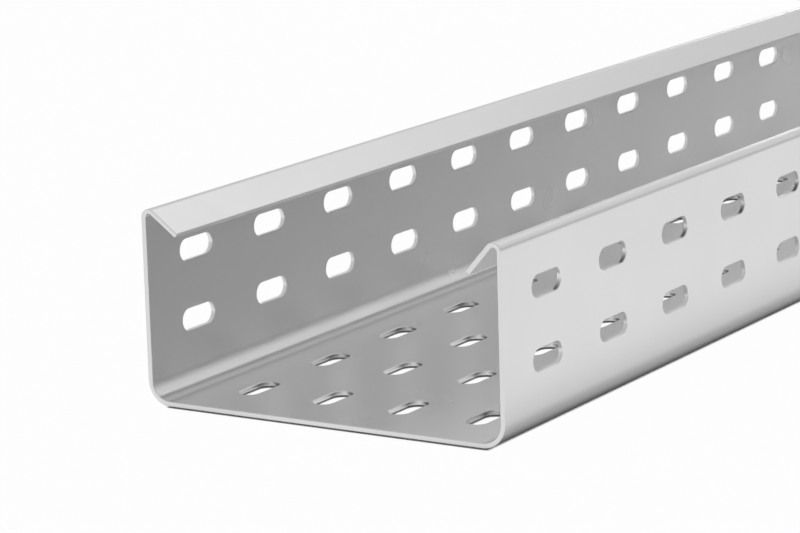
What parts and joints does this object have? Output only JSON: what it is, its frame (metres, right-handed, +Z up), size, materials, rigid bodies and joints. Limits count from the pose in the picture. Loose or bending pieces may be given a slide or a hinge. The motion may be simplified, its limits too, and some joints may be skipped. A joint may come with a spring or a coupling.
{
  "type": "trough cable tray",
  "caption": "Open-top channel of folded, slotted sheet steel with inward-sloping rims, for carrying and fixing cables along a wall, ceiling or machine.",
  "frame": {"origin": "middle of the length and of the width, on the underside of the floor", "axes": "+X along the tray away from the end that the picture shows, +Z up through the open top, +Y towards the wall on the picture's left"},
  "size_m": [2, 0.1234, 0.06],
  "materials": {
    "sheet_steel": "satin galvanised sheet steel"
  },
  "bodies": {
    "root": {"tray": "sheet_steel"}
  },
  "joints": []
}
